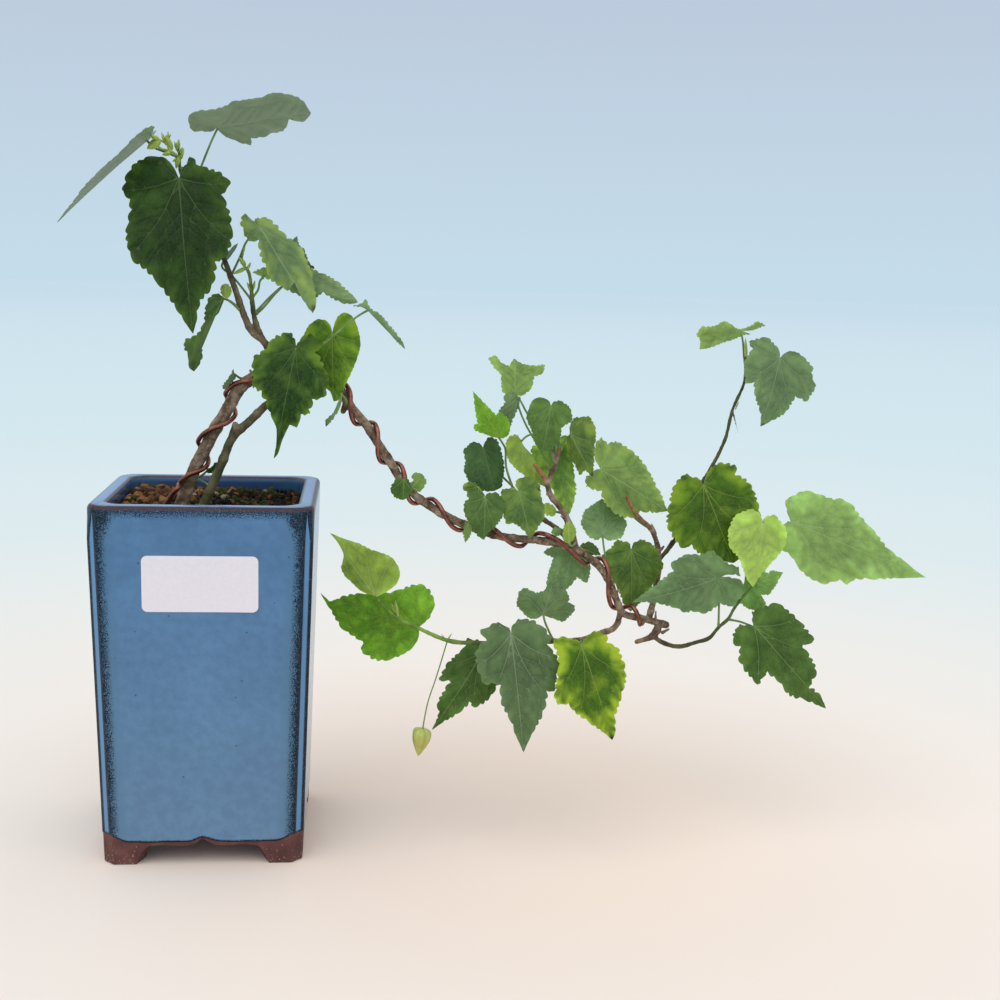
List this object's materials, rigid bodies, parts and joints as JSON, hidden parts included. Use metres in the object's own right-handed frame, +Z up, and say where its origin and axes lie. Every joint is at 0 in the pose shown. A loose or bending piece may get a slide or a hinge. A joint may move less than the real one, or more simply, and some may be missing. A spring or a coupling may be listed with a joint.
{
  "type": "flowering maple bonsai",
  "caption": "Cascade bonsai of a flowering maple: wired arching wood with toothed heart-shaped leaves and a hanging bud, in a tall tapered square glazed pot on four feet.",
  "frame": {"origin": "middle of the underside of the whole plant and pot, on the surface that the pot's feet stand on", "axes": "+Z up, +X along the pot's front towards the side the branch hangs over, +Y from the pot's front to its back"},
  "size_m": [0.4176, 0.0992, 0.342],
  "materials": {
    "pot_glaze": "gloss",
    "soil_grains": "matte",
    "label_paper": "satin",
    "bark": "matte",
    "wire": "satin",
    "leaf_deep": "satin",
    "leaf_green": "satin",
    "leaf_sheen": "satin",
    "leaf_fresh": "satin",
    "leaf_lime": "satin",
    "leaf_yellowed": "satin",
    "bud_cream": "satin"
  },
  "bodies": {
    "root": {"pot": "pot_glaze", "soil": "soil_grains", "label_blank": "label_paper", "wood": "bark", "training_wire": "wire", "crown_buds": "leaf_lime", "flower_bud": "bud_cream", "leaf_crown_top": "leaf_sheen", "leaf_crown_left": "leaf_sheen", "leaf_crown_heart": "leaf_deep", "leaf_crown_behind": "leaf_deep", "leaf_crown_yellow": "leaf_fresh", "leaf_crown_right": "leaf_fresh", "leaf_crown_dark": "leaf_deep", "leaf_crown_small": "leaf_green", "leaf_crown_hanging": "leaf_sheen", "leaf_crown_young": "leaf_lime", "leaf_arch_spray": "leaf_fresh", "leaf_arch_front": "leaf_green", "leaf_arch_back": "leaf_yellowed", "leaf_arch_narrow": "leaf_fresh", "leaf_arch_left": "leaf_sheen", "leaf_trunk_low": "leaf_deep", "leaf_branch_round": "leaf_green", "leaf_branch_small": "leaf_fresh", "leaf_branch_under": "leaf_green", "leaf_branch_dark": "leaf_deep", "leaf_branch_hanging": "leaf_sheen", "leaf_branch_edge": "leaf_fresh", "leaf_middle_top": "leaf_fresh", "leaf_middle_lime": "leaf_lime", "leaf_middle_dark": "leaf_sheen", "leaf_middle_broad": "leaf_green", "leaf_middle_folded": "leaf_deep", "leaf_middle_yellow": "leaf_lime", "leaf_middle_behind": "leaf_green", "leaf_middle_cupped": "leaf_green", "leaf_middle_large": "leaf_fresh", "leaf_middle_left": "leaf_green", "leaf_middle_front": "leaf_green", "leaf_middle_round": "leaf_sheen", "leaf_middle_low": "leaf_green", "leaf_knot_yellow": "leaf_lime", "leaf_knot_frilled": "leaf_green", "leaf_twig_pale": "leaf_lime", "leaf_right_broad": "leaf_green", "leaf_right_lime": "leaf_lime", "leaf_right_largest": "leaf_fresh", "leaf_right_left": "leaf_sheen", "leaf_right_behind": "leaf_green", "leaf_right_lobed": "leaf_deep", "leaf_right_upper": "leaf_sheen", "leaf_right_top": "leaf_fresh", "leaf_low_tip": "leaf_lime", "leaf_low_wide": "leaf_green", "leaf_low_behind": "leaf_green", "leaf_low_lobed": "leaf_sheen", "leaf_low_mottled": "leaf_yellowed"}
  },
  "joints": []
}
